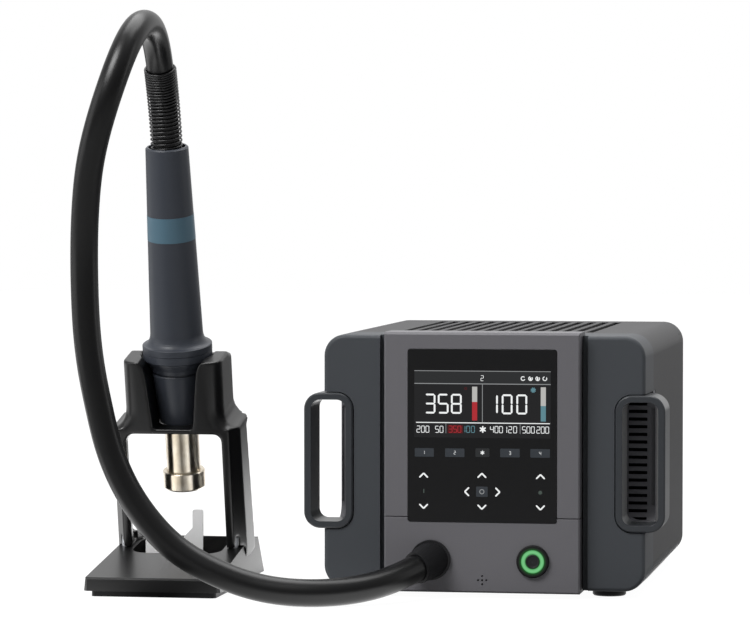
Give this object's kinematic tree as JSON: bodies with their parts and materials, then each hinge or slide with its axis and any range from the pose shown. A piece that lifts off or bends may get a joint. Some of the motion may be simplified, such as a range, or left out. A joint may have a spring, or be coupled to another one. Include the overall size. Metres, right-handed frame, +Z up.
{
  "type": "hot air rework station",
  "caption": "Bench hot air rework station with a flat display panel, side loop handles, a coiled-guard air hose and a slim handset leaning in its own stand",
  "frame": {"origin": "middle of the footprint of the bench unit and stand, on the bench", "axes": "+Z up; +X to the right as seen from the front, from the stand towards the bench unit; +Y from the display towards the back"},
  "size_m": [0.3386, 0.343, 0.3425],
  "materials": {
    "frame_paint": "fine satin charcoal paint on a moulded frame",
    "shell_paint": "fine textured charcoal powder coat on sheet steel",
    "panel_plastic": "satin mid grey moulding, a little lighter than the body",
    "display_glass": "smooth black display cover",
    "handle_paint": "satin dark grey cast handle",
    "black_plastic": "black moulded plastic",
    "black_rubber": "soft black rubber",
    "filter_foam": "open black foam",
    "green_light": "translucent ring, lit green from behind",
    "grip_plastic": "satin blue grey grip moulding",
    "band_plastic": "satin steel blue band",
    "stand_plastic": "black satin paint on cast metal",
    "barrel_steel": "bright nickel steel, a little straw coloured from heat",
    "bare_steel": "bare rolled steel sheet",
    "spring_steel": "black coated spring wire",
    "screw_steel": "zinc plated steel",
    "zinc_steel": "plain zinc coated steel sheet",
    "nickel": "nickel plated brass",
    "board_green": "green fibreglass board and its parts",
    "pale_plastic": "natural pale plastic",
    "red_rubber": "red brown silicone tube",
    "copper_coil": "enamelled copper winding on a laminated core",
    "bare_aluminium": "plain extruded aluminium",
    "ceramic": "off white ceramic heater body",
    "mica": "thin golden mica sheet"
  },
  "bodies": {
    "unit": {"front_frame": "frame_paint", "upper_panel": "panel_plastic", "lower_panel": "panel_plastic", "display_glass": "display_glass", "lcd_module": "black_plastic", "control_board": "board_green", "panel_screws": "screw_steel", "power_bezel": "black_plastic", "power_light_ring": "green_light", "power_switch": "black_plastic", "power_nut": "nickel", "hose_boot": "black_rubber", "gland_nut": "black_plastic", "buzzer": "black_plastic", "handle_left": "handle_paint", "handle_right": "handle_paint", "handle_screws": "screw_steel", "grille_left": "black_plastic", "grille_right": "black_plastic", "slot_filters": "filter_foam", "outer_shell": "shell_paint", "chassis_tray": "zinc_steel", "rear_panel": "shell_paint", "rear_screws": "screw_steel", "mains_inlet": "black_plastic", "inlet_pins": "nickel", "fuse_drawer": "black_plastic", "inlet_screws": "screw_steel", "feet": "black_rubber", "foot_screws": "screw_steel", "blower_housing": "black_plastic", "blower_cover": "black_plastic", "blower_motor": "zinc_steel", "motor_bearings": "screw_steel", "blower_screws": "screw_steel", "air_pipe": "red_rubber", "mains_board": "board_green", "transformer": "copper_coil", "heatsink": "bare_aluminium", "air_hose": "black_rubber", "stand_frame": "stand_plastic", "stand_base": "stand_plastic", "stand_ballast": "zinc_steel", "stand_pad": "black_rubber", "nozzle_fork": "bare_steel", "fork_screws": "screw_steel", "stand_screws": "screw_steel"},
    "button": {"power_cap": "black_plastic"},
    "rotor": {"impeller": "pale_plastic", "impeller_shaft": "screw_steel"},
    "handset": {"spring_guard": "spring_steel", "hose_bush": "black_rubber", "grip_shell": "grip_plastic", "colour_band": "band_plastic", "front_sleeve": "grip_plastic", "heater_barrel": "barrel_steel", "heater_core": "ceramic", "mica_sleeve": "mica"},
    "nozzle_sleeve": {"nozzle": "barrel_steel"}
  },
  "joints": [
    {"name": "power_button", "type": "slide", "parent": "unit", "child": "button", "axis": [0, 1, 0], "range_m": [0, 0.002], "stiffness_N_per_m": 400, "springref_m": -0.002},
    {"name": "impeller_spin", "type": "hinge", "parent": "unit", "child": "rotor", "pos_m": [0.07065, 0.04925, 0.03], "axis": [0, 0, 1], "continuous": true},
    {"name": "handset_lift", "type": "slide", "parent": "unit", "child": "handset", "axis": [0, -0.225, 0.9744], "range_m": [0, 0.09], "deforming": ["air_hose"]},
    {"name": "nozzle_pull", "type": "slide", "parent": "handset", "child": "nozzle_sleeve", "axis": [0, 0.225, -0.9744], "range_m": [0, 0.014]}
  ]
}
